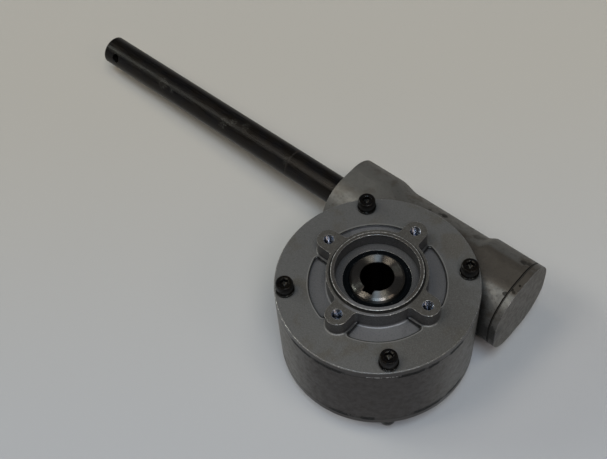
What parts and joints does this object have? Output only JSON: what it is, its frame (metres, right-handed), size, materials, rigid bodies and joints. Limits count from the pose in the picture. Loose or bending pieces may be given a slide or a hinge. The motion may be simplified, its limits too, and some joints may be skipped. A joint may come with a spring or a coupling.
{
  "type": "worm gearbox",
  "caption": "Right-angle worm gearbox with a keyed hollow output shaft, flanged round covers with threaded mounting ears and a long plain input shaft.",
  "frame": {"origin": "on the output bore's axis, halfway between the two covers", "axes": "+Z along the output bore; the input shaft runs along X with its free end toward -X and the end cap toward +X; the worm barrel lies on the +Y side"},
  "size_m": [0.4455, 0.1763, 0.107],
  "materials": {
    "cast_housing": "as cast, bare",
    "machined_cover": "cast, outer face turned",
    "gasket_paper": "fibre gasket",
    "black_steel": "black oxide",
    "spring_steel": "plain",
    "seal_rubber": "moulded",
    "turned_steel": "turned",
    "bearing_steel": "ground",
    "bronze": "machined",
    "hub_iron": "machined"
  },
  "bodies": {
    "gear_case": {"housing": "cast_housing", "top_cover": "machined_cover", "bottom_cover": "machined_cover", "top_gasket": "gasket_paper", "bottom_gasket": "gasket_paper", "top_cover_screws": "black_steel", "bottom_cover_screws": "black_steel", "top_lock_washers": "spring_steel", "bottom_lock_washers": "spring_steel", "top_oil_seal": "seal_rubber", "bottom_oil_seal": "seal_rubber", "end_cap": "cast_housing", "end_cap_gasket": "gasket_paper", "input_oil_seal": "seal_rubber", "input_retaining_ring": "spring_steel", "top_bearing_outer_ring": "bearing_steel", "bottom_bearing_outer_ring": "bearing_steel", "cap_side_bearing_outer_ring": "bearing_steel", "input_side_bearing_outer_ring": "bearing_steel"},
    "output_rotor": {"output_shaft": "turned_steel", "wheel_key": "turned_steel", "wheel_hub": "hub_iron", "wheel_rim": "bronze", "top_bearing_inner_ring": "bearing_steel", "bottom_bearing_inner_ring": "bearing_steel", "top_bearing_balls": "bearing_steel", "bottom_bearing_balls": "bearing_steel"},
    "input_rotor": {"worm_shaft": "black_steel", "cap_side_bearing_inner_ring": "bearing_steel", "input_side_bearing_inner_ring": "bearing_steel", "cap_side_bearing_balls": "bearing_steel", "input_side_bearing_balls": "bearing_steel"}
  },
  "joints": [
    {"name": "output_spin", "type": "hinge", "parent": "gear_case", "child": "output_rotor", "pos_m": [0, 0, 0], "axis": [0, 0, 1], "continuous": true},
    {"name": "input_spin", "type": "hinge", "parent": "gear_case", "child": "input_rotor", "pos_m": [0, 0.06775, 0], "axis": [1, 0, 0], "continuous": true}
  ],
  "couplings": [
    {"joint": "input_spin", "follows": "output_spin", "ratio": 40}
  ]
}
